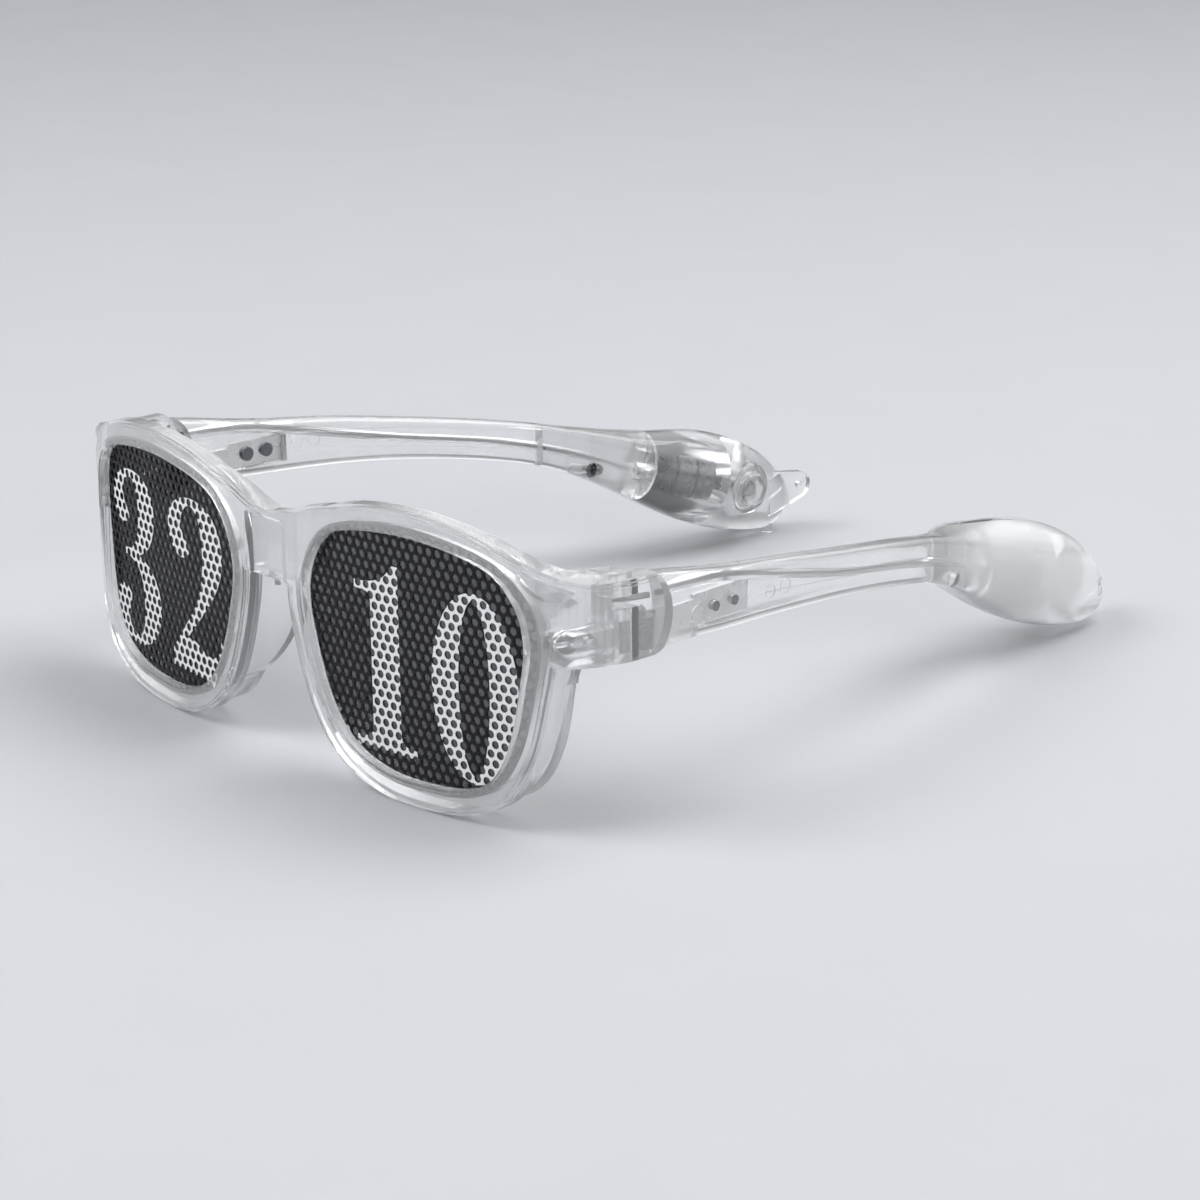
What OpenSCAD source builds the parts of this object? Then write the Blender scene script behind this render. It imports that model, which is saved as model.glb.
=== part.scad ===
/* [Front] */
// Distance between the two lens centres
lens_pitch = 69.6; // [66:0.1:74]
// Width of a lens opening
lens_w = 49.8; // [46:0.1:52]
// Height of a lens opening
lens_h = 42.4; // [38:0.1:45]
// Radius of the curve that the front follows, seen from above
front_r = 288; // [200:1:600]
// Width of the rim outside the lens opening
rim_w = 4.4; // [3.6:0.1:5]
// How far the face of the front rim stands before the lens film
face_d = 2; // [1.2:0.1:2.4]
// Thickness of the front moulding behind the film's plane
ledge_d = 1.5; // [1.5:0.1:2]
// Depth of the rear moulding at the lower half of the rims
rear_d = 5.2; // [4:0.1:6]
// Width of the bridge between the rims
bridge_w = 10.4; // [9:0.1:12]
// How far an end piece reaches out beyond its lens opening
end_w = 10.1; // [9.8:0.1:12]

/* [Lens and film] */
// Thickness of a lens
lens_t = 1.2; // [0.8:0.1:1.4]
// Thickness of the printed film
film_t = 0.25; // [0.15:0.05:0.3]
// How far the lens reaches under the front rim, all round
lens_seat = 1.4; // [1:0.1:2]

/* [Hinge] */
// Diameter of the hinge knuckles
knuckle_d = 4; // [3.6:0.1:4.4]
// Height of the three knuckles together
knuckle_h = 5.4; // [4.8:0.1:5.8]
// Diameter of the hinge screw
screw_d = 1.4; // [1.2:0.1:1.6]
// Distance of the hinge axis inside the outer face of the end piece
hinge_in = 5.8; // [5.6:0.1:6]

/* [Temples] */
// Distance of the temple tips below the line of the rims
tip_drop = 2.2; // [1.6:0.1:3]
// Width of the wire channel in the arm
channel_w = 1.7; // [1.4:0.1:2]
// Diameter of the insulated wire
wire_d = 1.1; // [0.8:0.1:1.3]

/* [Battery bay] */
// Diameter of a button cell
cell_d = 11.6; // [9.5:0.1:11.6]
// Height of a button cell
cell_h = 5.4; // [3.6:0.1:5.4]
// Diameter of the push button on the battery cover
button_d = 7; // [5:0.1:8]
// Travel of the push button
press_travel = 0.8; // [0.4:0.1:1]

/* [Hidden] */

// Fits and margins
run_gap = 0.05;
slide_gap = 0.3;
seat_gap = 0.1;
fine = 96;
round_fn = 48;
front_fn = 360;
far = 90;

// Lens openings
lens_x = lens_pitch / 2;
lens_z = rim_w + lens_h / 2;

// The lens opening as fractions of its half width and half height, from the
// upper outer corner over the top to the nose, and back along the bottom
opening_knots = [
    [0.985, 0.36], [0.90, 0.70], [0.66, 0.905], [0.06, 1.00], [-0.56, 0.925], [-0.86, 0.73],
    [-0.998, 0.34], [-0.93, -0.12], [-0.78, -0.56], [-0.57, -0.835], [-0.26, -0.975], [0.07, -1.00],
    [0.45, -0.955], [0.72, -0.80], [0.87, -0.50], [0.945, -0.08]
];
knot_steps = 5;

// Front moulding, its outer edge rounded in steps of depth and inset
face_steps = [[0, 0.9], [0.25, 0.45], [0.7, 0]];
lip_step = 0.35;
lip_inset = 0.5;
bridge_recess = 1.6;
bridge_z0 = 32;
bridge_z1 = 43.3;
// The brow as fractions of half the front's width, and heights above the
// top of the lens openings
brow_knots = [
    [0, -2.6], [0.0716, -1.6], [0.129, -0.1], [0.215, 1.4], [0.344, 2.8], [0.487, 3.6],
    [0.645, 3.1], [0.788, 1.3], [0.86, -0.3], [0.917, -2.3], [0.96, -3.5]
];

// Rear moulding
rear_inset = 0.8;
back_d = ledge_d + rear_d;
back_lean = 9;
back_lean_z = 24;
pad_d = back_d + 5;
pad_z = 20;
pad_r = 12;

// End pieces and their seams
side_x = lens_x + lens_w / 2 + end_w;
corner_r = 18;
corner_x = side_x - corner_r;
corner_y = front_r - sqrt(pow(front_r - corner_r + face_d, 2) - pow(corner_x, 2));
end_z0 = 29.4;
end_z1 = 43.1;
seam_r = 9.4;
seam_y = 18.6;
seam_z = 36.4;
seam_gap = 0.35;
block_x = lens_x + lens_w / 2 - 2.2;
block_y = 22.2;
flank_x = lens_pitch / 2 + lens_w / 2 + rim_w - rear_inset;
fillet_r = 3.5;

// Hinge
hinge_x = side_x - hinge_in;
hinge_y = 25;
hinge_z = 32.6;
leaf_t = 0.8;
knuckle_gap = 0.1;
head_r = screw_d / 2 + 0.6;
leaf_x = hinge_x - 1.1;
front_leaf_y = 19;
leaf_y = 36;
leaf_l = 13;
leaf_h = 5.2;
leaf_z = 33.5;
rivet_d = 1.8;
rivet_l = 3;
rivet_y = [4.6, 9.2];

// Light-emitting diode, its dome towards the front
led_d = 5;
led_len = 8.6;
led_x = lens_x + lens_w / 2 + 2.9;
led_y = 17.6;
led_z = 33;
led_rim = 0.4;
led_room = 1.6;
slot_y = led_y + 0.6;
slot_t = 0.9;
slot_w = 5.6;

// Temple stations: along the temple, outer and inner face inside the end
// piece's outer face, top and bottom
temple_knots = [
    [24.0, 0.5, 6.8, 42.9, 29.4], [32.0, 1.5, 7.2, 41.5, 29.4], [44.0, 2.8, 7.9, 39.3, 28.8],
    [60.0, 4.4, 9.4, 37.2, 27.9], [76.0, 6.9, 11.9, 34.6, 26.3], [92.0, 10.2, 15.2, 31.8, 23.7],
    [104.0, 13.2, 18.3, 29.4, 20.9], [112.0, 15.0, 23.0, 27.6, 17.8], [120.0, 16.8, 29.4, 26.2, 13.4],
    [128.0, 17.8, 32.2, 25.0, 8.6], [136.0, 18.4, 32.9, 23.9, 4.4], [144.0, 18.9, 33.0, 22.0, 1.4],
    [152.0, 19.8, 32.5, 18.6, -0.6], [158.0, 21.1, 31.4, 14.6, -1.3], [162.0, 22.8, 29.7, 10.6, -0.5],
    [165.0, 24.8, 27.5, 6.6, 1.6]
];
tip_y = temple_knots[len(temple_knots) - 1][0];
// How far the tip's point lies behind the last station, inside the outer face, and its height
tip_point = [1, 26, 4.2];
temple_start_y = 20;
station_steps = 3;
section_pts = 24;
arm_power = 5;
bulb_power = 2.5;

// Battery bay along the bulb of a temple
cell_count = 3;
cell_x = side_x - 24.8;
cell_y = 125.5;
cell_z = 17.5;
cell_tilt = 17.5;
cell_turn = 3.2;
bay_d = cell_d + 0.3;
stack_h = cell_h * cell_count;
plate_t = 0.4;
plate_s = plate_t + 0.05;
tab_l = 0.8;
spring_h = 3.2;
bay_s = stack_h + spring_h + 0.05;
split_x = side_x - 25;
nose_y = 105;
cover_gap = 0.05;

// Cover screw
screw_y = 113.6;
screw_z = 19.3;
head_x = side_x - 23.8;
fix_d = 1.6;
fix_l = 6.2;

// Push button, its switch and its board, across the bulb behind the battery bay
button_s = 26;
button_y = cell_y + button_s * cos(cell_tilt) * cos(cell_turn);
button_z = cell_z - button_s * sin(cell_tilt);
button_x = side_x - 33.4;
cavity_x = side_x - 31.2;
cavity_d = 10.4;
flange_t = 0.8;
flange_x = cavity_x + slide_gap;
switch_w = 6;
switch_x = flange_x + flange_t + press_travel + slide_gap;
switch_h = 3.3;
plunger_d = 3.4;
plunger_x = switch_x + 1.4;
board_t = 1;
board_x = switch_x + switch_h;

// Eyelet and foot on a battery cover
ear_x = side_x - 31.8;
ear_y = tip_y;
ear_z = 7.6;
ear_r = 2.8;
ear_t = 1.8;
eyelet_d = 1.4;
foot_y = tip_y - 6.3;
foot_x = side_x - 28.2;
foot_d = 2.2;

// Lean of the whole frame when it stands on the rims and the two feet
lean = atan2(tip_drop, foot_y);
tip_reach = ear_y * cos(lean) - ear_z * sin(lean) + ear_r;
front_reach = face_d * cos(lean) + bridge_z1 * sin(lean);
mid_y = (tip_reach - front_reach) / 2;

clear_tint = [0.86, 0.90, 0.93, 0.55];

function smooth_point(a, b, c, d, t) =
    0.5 * (2 * b + (c - a) * t + (2 * a - 5 * b + 4 * c - d) * t * t + (3 * b - a - 3 * c + d) * t * t * t);

// A closed smooth curve through the knots
function closed_curve(k, steps) =
    let (n = len(k))
    [for (i = [0:n - 1], j = [0:steps - 1])
        smooth_point(k[(i + n - 1) % n], k[i], k[(i + 1) % n], k[(i + 2) % n], j / steps)];

// An open smooth curve through the knots, with its last knot as its end
function open_curve(k, steps) =
    let (n = len(k))
    [for (i = [0:n - 2], j = [0:steps - 1])
        smooth_point(k[max(i - 1, 0)], k[i], k[i + 1], k[min(i + 2, n - 1)], j / steps), k[n - 1]];

// A closed anticlockwise curve moved outward along its own normals
function moved_out(p, d) =
    let (n = len(p))
    [for (i = [0:n - 1])
        let (t = p[(i + 1) % n] - p[(i + n - 1) % n], u = t / norm(t))
        p[i] + d * [u[1], -u[0]]];

opening = closed_curve([for (k = opening_knots) [k[0] * lens_w / 2, k[1] * lens_h / 2]], knot_steps);

brow = open_curve([for (k = brow_knots) [k[0] * side_x, rim_w + lens_h + k[1]]], 3);

function lens_outline(grow) = [for (p = moved_out(opening, grow)) p + [lens_x, lens_z]];

module both_sides() {
    children();
    mirror([1, 0, 0]) children();
}

module right_side() {
    mirror([1, 0, 0]) children();
}

// Stands the frame on its rims and feet, with the middle of its length at the origin
module seat() {
    translate([0, -mid_y, 0]) rotate([lean, 0, 0]) children();
}

// Extrudes a shape drawn in width and height through the depth of the front
module through_front(y0, y1) {
    translate([0, y1, 0]) rotate([90, 0, 0]) linear_extrude(y1 - y0) children();
}

// Extrudes a shape drawn in depth and height across the width
module across(x0, x1) {
    translate([x0, 0, 0]) rotate([90, 0, 90]) linear_extrude(x1 - x0) children();
}

// Everything behind the front's curve, d behind the plane of the film
module plan_body(d) {
    join_x = corner_x * (front_r - d) / (front_r - corner_r + face_d);
    intersection() {
        translate([0, front_r]) circle(r = front_r - d, $fn = front_fn);
        translate([-join_x, -10]) square([2 * join_x, 60]);
    }
    for (s = [-1, 1])
        translate([s * corner_x, corner_y]) circle(r = corner_r - face_d - d, $fn = fine);
    translate([-side_x + face_d + d, corner_y]) square([2 * (side_x - face_d - d), 40]);
}

// The space between two depths behind the film's plane
module layer(d0, d1) {
    linear_extrude(far) difference() {
        plan_body(d0);
        plan_body(d1);
    }
}

module rim_outline(grow) {
    polygon(lens_outline(grow));
}

// Outline of the front seen from before it, inset at its outer edge
module face_outline(inset) {
    both_sides() {
        difference() {
            rim_outline(rim_w - inset);
            translate([-20, 0]) square([20, far]);
        }
        polygon(concat(
            [for (p = brow) p - [0, inset]],
            [
                [side_x + 2, end_z1 - inset], [side_x + 2, end_z0 + inset], [side_x - 8, end_z0 + inset],
                [side_x - 12, lens_z + 3], [lens_x, lens_z], [bridge_w / 2 + 5, lens_z + 8],
                [bridge_w / 2, bridge_z0 + inset], [0, bridge_z0 + inset]
            ]
        ));
    }
}

// The round end of an end piece at its seam with the temple
module seam_round(gap) {
    across(-far, far) translate([seam_y, seam_z]) circle(r = seam_r + gap, $fn = fine);
}

module beyond_seam() {
    difference() {
        translate([-far, seam_y, 0]) cube([2 * far, far, far]);
        seam_round(0);
    }
}

module front_shell(d0, inset) {
    intersection() {
        layer(d0, ledge_d);
        through_front(-10, 60) face_outline(inset);
    }
}

module front_frame() {
    color(clear_tint) seat() difference() {
        for (k = face_steps) front_shell(-face_d + k[0], k[1]);
        beyond_seam();
        both_sides() {
            through_front(-10, 30) rim_outline(0);
            intersection() {
                layer(0, back_d);
                through_front(-10, 30) rim_outline(lens_seat + seat_gap);
            }
            intersection() {
                layer(-face_d - 1, -face_d + lip_step);
                through_front(-10, 30) rim_outline(lip_inset);
            }
            led_pocket();
        }
        // Panel of the bridge, set back from the rims
        intersection() {
            layer(-face_d - 1, -face_d + bridge_recess);
            translate([-bridge_w / 2, -10, 0]) cube([bridge_w, 20, bridge_z1]);
        }
        // Moulded diamond at each upper outer corner
        both_sides() intersection() {
            layer(-face_d - 1, -face_d + 0.9);
            through_front(-10, 30) polygon([
                [side_x - 11.3, end_z1 + 1.8], [side_x - 10.5, end_z1 + 2.3], [side_x - 6.9, end_z1 + 0.8],
                [side_x - 4.2, end_z1 - 1], [side_x - 5.2, end_z1 - 2.3], [side_x - 7.4, end_z1 - 2.2],
                [side_x - 9.3, end_z1 - 1.1], [side_x - 11.1, end_z1 + 0.5]
            ]);
        }
    }
}

// Everything behind a plain curve d behind the film; tilted, it thins the top
module behind(d, tilt) {
    translate([0, 0, back_lean_z]) rotate([tilt, 0, 0]) translate([0, front_r, -far])
        cylinder(h = 2 * far, r = front_r - d, $fn = front_fn);
}

module end_block() {
    intersection() {
        linear_extrude(far) intersection() {
            plan_body(ledge_d);
            polygon([
                [block_x, 4], [block_x, 15], [block_x + 3.6, block_y], [side_x, block_y], [side_x, 4]
            ]);
        }
        through_front(-10, 60) face_outline(0);
        translate([0, 0, end_z0]) cube([far, far, end_z1 - end_z0]);
    }
}

// Fillet between the back of a rim's flank and the underside of the end piece
module flank_fillet() {
    intersection() {
        across(block_x, flank_x) difference() {
            translate([11, end_z0 - fillet_r]) square([2.2 + fillet_r, fillet_r + 2]);
            translate([13.2 + fillet_r, end_z0 - fillet_r]) circle(r = fillet_r, $fn = round_fn);
        }
        linear_extrude(far) plan_body(ledge_d);
    }
}

module led_pocket() {
    led_form(seat_gap);
    translate([led_x, led_y + led_room, led_z]) rotate([90, 0, 0])
        cylinder(h = led_room + 1, d = led_d + 2 * led_rim + 2 * seat_gap, $fn = round_fn);
}

module rear_frame() {
    color(clear_tint) seat() difference() {
        union() {
            difference() {
                intersection() {
                    linear_extrude(far) plan_body(ledge_d);
                    through_front(-10, 60) face_outline(rear_inset);
                }
                behind(back_d, 0);
                behind(back_d, back_lean);
            }
            both_sides() {
                end_block();
                flank_fillet();
                nose_pad();
            }
        }
        both_sides() {
            through_front(-10, 40) rim_outline(0.3);
            led_pocket();
            // Slot behind the diode, through the height of the block
            translate([led_x - slot_w / 2, slot_y, 0]) cube([slot_w, slot_t, far]);
            // Room for the wire and for the leaf of the hinge
            translate([led_x - 1, led_y + led_room - 0.2, led_z]) cube([2, 0.3, 6]);
            translate([led_x - 1, led_y, led_z + 1]) cube([2, led_room, 6]);
            translate([led_x - 1, led_y, led_z + 5]) cube([far, 10, 2.1]);
            translate([leaf_x - seat_gap, front_leaf_y - seat_gap, hinge_z - knuckle_h / 2 - seat_gap])
                cube([leaf_t + 2 * seat_gap, 10, knuckle_h + 2 * seat_gap]);
        }
    }
}

// A flange on the nose side of a rim that follows the rim and bears on the nose
module nose_pad() {
    intersection() {
        layer(back_d - 0.5, pad_d);
        through_front(-10, 40) difference() {
            rim_outline(rim_w - rear_inset);
            rim_outline(0.3);
            translate([lens_x - 10, 0]) square([far, far]);
        }
        across(0, far) translate([pad_d - pad_r, pad_z]) circle(r = pad_r, $fn = fine);
    }
}

module lens() {
    intersection() {
        layer(film_t, film_t + lens_t);
        through_front(-10, 30) rim_outline(lens_seat);
    }
}

module film() {
    intersection() {
        layer(0, film_t);
        through_front(-10, 30) rim_outline(lens_seat - 0.4);
    }
}

module lens_left() { color([0.8, 0.85, 0.9, 0.4]) seat() lens(); }
module lens_right() { color([0.8, 0.85, 0.9, 0.4]) seat() right_side() lens(); }
module film_left() { color([0.08, 0.08, 0.08]) seat() film(); }
module film_right() { color([0.08, 0.08, 0.08]) seat() right_side() film(); }

module led_form(gap) {
    translate([led_x, led_y, led_z]) rotate([90, 0, 0]) {
        translate([0, 0, -gap]) cylinder(h = 1 + 2 * gap, d = led_d + 2 * led_rim + 2 * gap, $fn = round_fn);
        cylinder(h = led_len - led_d / 2, d = led_d + 2 * gap, $fn = round_fn);
        translate([0, 0, led_len - led_d / 2]) sphere(d = led_d + 2 * gap, $fn = round_fn);
    }
}

module led() {
    led_form(0);
}

module led_left() { color([0.95, 0.97, 1, 0.8]) seat() led(); }
module led_right() { color([0.95, 0.97, 1, 0.8]) seat() right_side() led(); }

// A section swept along a list of points, its ends square to its first and last runs
module swept(route, section) {
    n = len(route);
    m = len(section);
    rings = [for (i = [0:n - 1])
        let (
            t = route[min(i + 1, n - 1)] - route[max(i - 1, 0)],
            u = t / norm(t),
            a = cross([1, 0, 0], u) / norm(cross([1, 0, 0], u)),
            b = cross(u, a)
        )
        [for (q = section) route[i] + q[0] * a + q[1] * b]];
    walls = [for (i = [0:n - 2], j = [0:m - 1])
        let (k = (j + 1) % m)
        [i * m + j, (i + 1) * m + j, (i + 1) * m + k, i * m + k]];
    polyhedron(
        points = [for (r = rings) each r],
        faces = concat(walls, [[for (j = [0:m - 1]) j]], [[for (j = [m - 1:-1:0]) (n - 1) * m + j]])
    );
}

function round_section(d) = [for (j = [0:7]) d / 2 * [cos(45 * j), sin(45 * j)]];

// Route of the wire from the diode to the seam
front_wire_route = open_curve([
    [led_x, led_y + 0.8, led_z + 1.2], [led_x, led_y + 0.8, led_z + 4],
    [led_x + 0.8, led_y + 1.6, led_z + 5.9],
    [hinge_x + 0.9, block_y - 0.8, led_z + 6.1], [hinge_x + 1.6, hinge_y, led_z + 6.1]
], 3);

module front_wire() {
    swept(front_wire_route, round_section(wire_d));
}

module front_wire_left() { color([0.1, 0.1, 0.1]) seat() front_wire(); }
module front_wire_right() { color([0.1, 0.1, 0.1]) seat() right_side() front_wire(); }

// One knuckle of the hinge, counted from the bottom
module knuckle(i) {
    h = (knuckle_h - 2 * knuckle_gap) / 3;
    translate([hinge_x, hinge_y, hinge_z - knuckle_h / 2 + i * (h + knuckle_gap)]) {
        cylinder(h = h, d = knuckle_d, $fn = round_fn);
        children();
    }
}

module screw_bore(gap) {
    translate([hinge_x, hinge_y, hinge_z - knuckle_h])
        cylinder(h = 2 * knuckle_h, d = screw_d + 2 * gap, $fn = round_fn);
}

module front_hinge() {
    h = (knuckle_h - 2 * knuckle_gap) / 3;
    back = hinge_y - screw_d / 2 - 0.5;
    difference() {
        union() {
            knuckle(1) translate([leaf_x - hinge_x, block_y - hinge_y, 0]) cube([leaf_t, back - block_y, h]);
            translate([leaf_x, front_leaf_y, hinge_z - knuckle_h / 2])
                cube([leaf_t, block_y - front_leaf_y, knuckle_h]);
        }
        screw_bore(0);
    }
}

module temple_hinge() {
    h = (knuckle_h - 2 * knuckle_gap) / 3;
    start = screw_d / 2 + 0.5;
    difference() {
        union() {
            for (i = [0, 2])
                knuckle(i) translate([leaf_x - hinge_x, start, 0])
                    cube([leaf_t, seam_y + seam_r - hinge_y, h]);
            temple_leaf(0);
        }
        screw_bore(run_gap);
        rivet_places() cylinder(h = 6, d = rivet_d, center = true, $fn = round_fn);
    }
}

// Strip and plate of the hinge in the inner side of the temple
module temple_leaf(gap) {
    y0 = seam_y + seam_r;
    translate([leaf_x - gap, y0, hinge_z - knuckle_h / 2 - gap])
        cube([leaf_t + 2 * gap, leaf_y - y0 + 1, knuckle_h + 2 * gap]);
    translate([leaf_x - gap, leaf_y - gap, leaf_z - leaf_h / 2 - gap])
        cube([leaf_t + 2 * gap, leaf_l + 2 * gap, leaf_h + 2 * gap]);
}

module rivet_places() {
    for (y = rivet_y) translate([leaf_x, leaf_y + y, leaf_z]) rotate([0, 90, 0]) children();
}

module hinge_rivets() {
    rivet_places() {
        translate([0, 0, -0.5]) cylinder(h = rivet_l + 0.5, d = rivet_d, $fn = round_fn);
        translate([0, 0, -0.5]) cylinder(h = 0.5, d = rivet_d + 0.9, $fn = round_fn);
    }
}

module hinge_screw() {
    low = hinge_z - knuckle_h / 2 - knuckle_gap;
    translate([hinge_x, hinge_y, low]) {
        cylinder(h = knuckle_h + 1, d = screw_d, $fn = round_fn);
        translate([0, 0, knuckle_h + 1]) cylinder(h = 0.9, d1 = screw_d, d2 = 0.2, $fn = round_fn);
        translate([0, 0, -1]) difference() {
            cylinder(h = 1, r = head_r, $fn = round_fn);
            translate([-2, -0.2, -0.1]) cube([4, 0.4, 0.5]);
        }
    }
}

module front_hinge_left() { color("silver") seat() front_hinge(); }
module front_hinge_right() { color("silver") seat() right_side() front_hinge(); }
module hinge_screw_left() { color("dimgray") seat() hinge_screw(); }
module hinge_screw_right() { color("dimgray") seat() right_side() hinge_screw(); }
module temple_hinge_left() { color("silver") seat() temple_hinge(); }
module temple_hinge_right() { color("silver") seat() right_side() temple_hinge(); }
module hinge_rivets_left() { color("gray") seat() hinge_rivets(); }
module hinge_rivets_right() { color("gray") seat() right_side() hinge_rivets(); }

// One rounded section of a temple: k holds its station, p is how square it is
function temple_section(k, p) =
    let (
        cx = side_x - (k[1] + k[2]) / 2, cz = (k[3] + k[4]) / 2,
        rx = (k[2] - k[1]) / 2, rz = (k[3] - k[4]) / 2
    )
    [for (j = [0:section_pts - 1])
        let (a = 360 * (j + 0.5) / section_pts, c = cos(a), s = sin(a))
        [cx + rx * sign(c) * pow(abs(c), 2 / p), k[0], cz + rz * sign(s) * pow(abs(s), 2 / p)]];

function eased(t) = let (u = min(max(t, 0), 1)) u * u * (3 - 2 * u);

function power_at(y) = arm_power + (bulb_power - arm_power) * eased((y - 100) / 34);

// The temple with its bulb, before anything is cut from it
module temple_form() {
    stations = open_curve(temple_knots, station_steps);
    n = len(stations);
    rings = [for (k = stations) temple_section(k, power_at(k[0]))];
    first = [for (p = rings[0]) [p[0], temple_start_y, p[2]]];
    body_rings = concat([first], rings);
    m = n + 1;
    tip = m * section_pts;
    walls = [for (i = [0:m - 2], j = [0:section_pts - 1])
        let (k = (j + 1) % section_pts)
        [i * section_pts + j, i * section_pts + k, (i + 1) * section_pts + k, (i + 1) * section_pts + j]];
    last = (m - 1) * section_pts;
    end_fan = [for (j = [0:section_pts - 1]) [last + j, last + (j + 1) % section_pts, tip]];
    polyhedron(
        points = concat(
            [for (r = body_rings) each r],
            [[side_x - tip_point[1], tip_y + tip_point[0], tip_point[2]]]
        ),
        faces = concat(walls, end_fan, [[for (j = [section_pts - 1:-1:0]) j]])
    );
}

// Places what lies along the battery bay: its z runs back along the bulb
module bay_axis(s) {
    translate([cell_x, cell_y, cell_z]) rotate([0, 0, cell_turn]) rotate([-90 - cell_tilt, 0, 0])
        translate([0, 0, s]) children();
}

// Places what lies across the bulb at the push button
module button_axis(x) {
    translate([x, button_y, button_z]) rotate([0, 90, 0]) children();
}

module battery_bay() {
    bay_axis(-plate_s) cylinder(h = plate_s + bay_s, d = bay_d, $fn = round_fn);
    bay_axis(-plate_s - tab_l - 1) cylinder(h = tab_l + 1.1, d = 3.4, $fn = round_fn);
    button_axis(cavity_x) cylinder(h = board_x + board_t - cavity_x, d = cavity_d, $fn = round_fn);
    swept(wire_route, round_section(channel_w));
}

// The half of the bulb that the battery cover takes
module cover_side(gap) {
    linear_extrude(far, center = true) polygon([
        [split_x - gap, far * 2], [split_x - gap, nose_y + 16], [split_x + 3.5 - gap, nose_y + 7],
        [split_x + 9 - gap, nose_y], [split_x - 20, nose_y], [split_x - 20, far * 2]
    ]);
}

wire_route = open_curve([
    [hinge_x + 1.7, 26.6, led_z + 6.1], [hinge_x + 1.6, 32, 38.9], [hinge_x + 0.6, 44, 37.6],
    [hinge_x - 1.2, 60, 34.2], [hinge_x - 3.6, 76, 30.6], [hinge_x - 6.8, 92, 27.6],
    [hinge_x - 9.8, 104, 24.8], [hinge_x - 13.6, 114, 21.9], [cell_x + 2.4, cell_y - 5, cell_z + 2],
    [cell_x + 0.1, cell_y - 1.25, cell_z + 0.45]
], 3);

// Recessed panel along the inner face of the arm
panel_route = open_curve([
    for (y = [50:11.5:107.5]) let (k = station_at(y)) [side_x - k[2], y, (k[3] + k[4]) / 2 + 0.6]
], 2);

// The temple's measures at one place along it
function station_at(y) =
    let (i = max([for (j = [0:len(temple_knots) - 2]) if (temple_knots[j][0] <= y) j]))
    let (t = (y - temple_knots[i][0]) / (temple_knots[i + 1][0] - temple_knots[i][0]))
    smooth_point(
        temple_knots[max(i - 1, 0)], temple_knots[i], temple_knots[i + 1],
        temple_knots[min(i + 2, len(temple_knots) - 1)], t
    );

// Round marks on the outer face of the arm, and vent slots in its tip
marks = [[35.5, 33.5, 3.4], [53.8, 33, 2.4], [57.7, 33, 2.6]];
vents = [[160.8, 10], [162.5, 10], [162.8, 7.3], [160.5, 6.8], [161.5, 4.6]];

module temple() {
    difference() {
        temple_form();
        seam_round(seam_gap);
        cover_side(0);
        battery_bay();
        temple_leaf(seat_gap);
        translate([leaf_x - 4, leaf_y - seat_gap, leaf_z - leaf_h / 2 - seat_gap])
            cube([4, leaf_l + 2 * seat_gap, leaf_h + 2 * seat_gap]);
        translate([leaf_x - 4, seam_y, hinge_z - knuckle_h / 2 - seat_gap])
            cube([4 + leaf_t + seat_gap, leaf_y - seam_y + 1, knuckle_h + 2 * seat_gap]);
        rivet_places() cylinder(h = rivet_l, d = rivet_d, $fn = round_fn);
        // Room for the knuckles and for the head of the hinge screw
        translate([hinge_x, hinge_y, hinge_z - knuckle_h / 2 - seat_gap])
            cylinder(h = knuckle_h + 2 * seat_gap, d = knuckle_d + 2 * seat_gap, $fn = round_fn);
        translate([hinge_x, hinge_y, 0]) cylinder(h = hinge_z, r = head_r + slide_gap, $fn = round_fn);
        swept(panel_route, [[-1.8, -1], [1.8, -1], [1.8, 0.35], [-1.8, 0.35]]);
        for (m = marks)
            translate([side_x - station_at(m[0])[1] - 0.3, m[0], m[1]]) rotate([0, 90, 0])
                cylinder(h = 3, d = m[2], $fn = round_fn);
        for (v = vents)
            translate([side_x - station_at(v[0])[1], v[0], v[1]]) rotate([0, 0, -50])
                cube([2.2, 0.45, 1.7], center = true);
        translate([head_x, screw_y, screw_z]) rotate([0, 90, 0])
            cylinder(h = fix_l, d = fix_d, $fn = round_fn);
    }
}

module cover() {
    difference() {
        union() {
            intersection() {
                temple_form();
                cover_side(cover_gap);
            }
            translate([ear_x, ear_y, ear_z]) rotate([0, 90, 0])
                cylinder(h = ear_t, r = ear_r, $fn = round_fn);
            across(ear_x, ear_x + ear_t) translate([ear_y, ear_z]) polygon([
                [0.6, ear_r - 0.05], [-5.8, ear_r + 1], [-9, ear_r],
                [-9, -1.8 * ear_r], [-3.6, -1.4 * ear_r], [0.2, 0.02 - ear_r]
            ]);
            translate([foot_x, foot_y, -tip_drop]) cylinder(h = 5, d = foot_d, $fn = round_fn);
        }
        battery_bay();
        button_axis(button_x - 4) cylinder(h = 8, d = button_d + 2 * run_gap, $fn = round_fn);
        translate([ear_x - 1, ear_y, ear_z]) rotate([0, 90, 0])
            cylinder(h = ear_t + 2, d = eyelet_d, $fn = round_fn);
        translate([head_x, screw_y, screw_z]) rotate([0, 90, 0]) {
            cylinder(h = fix_l, d = fix_d, $fn = round_fn);
            translate([0, 0, -4]) cylinder(h = 4, d = fix_d + 1.5, $fn = round_fn);
        }
        translate([head_x, screw_y, screw_z]) rotate([0, 90, 0])
            cylinder(h = 0.9, d1 = fix_d + 1.4, d2 = fix_d, $fn = round_fn);
    }
}

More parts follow.
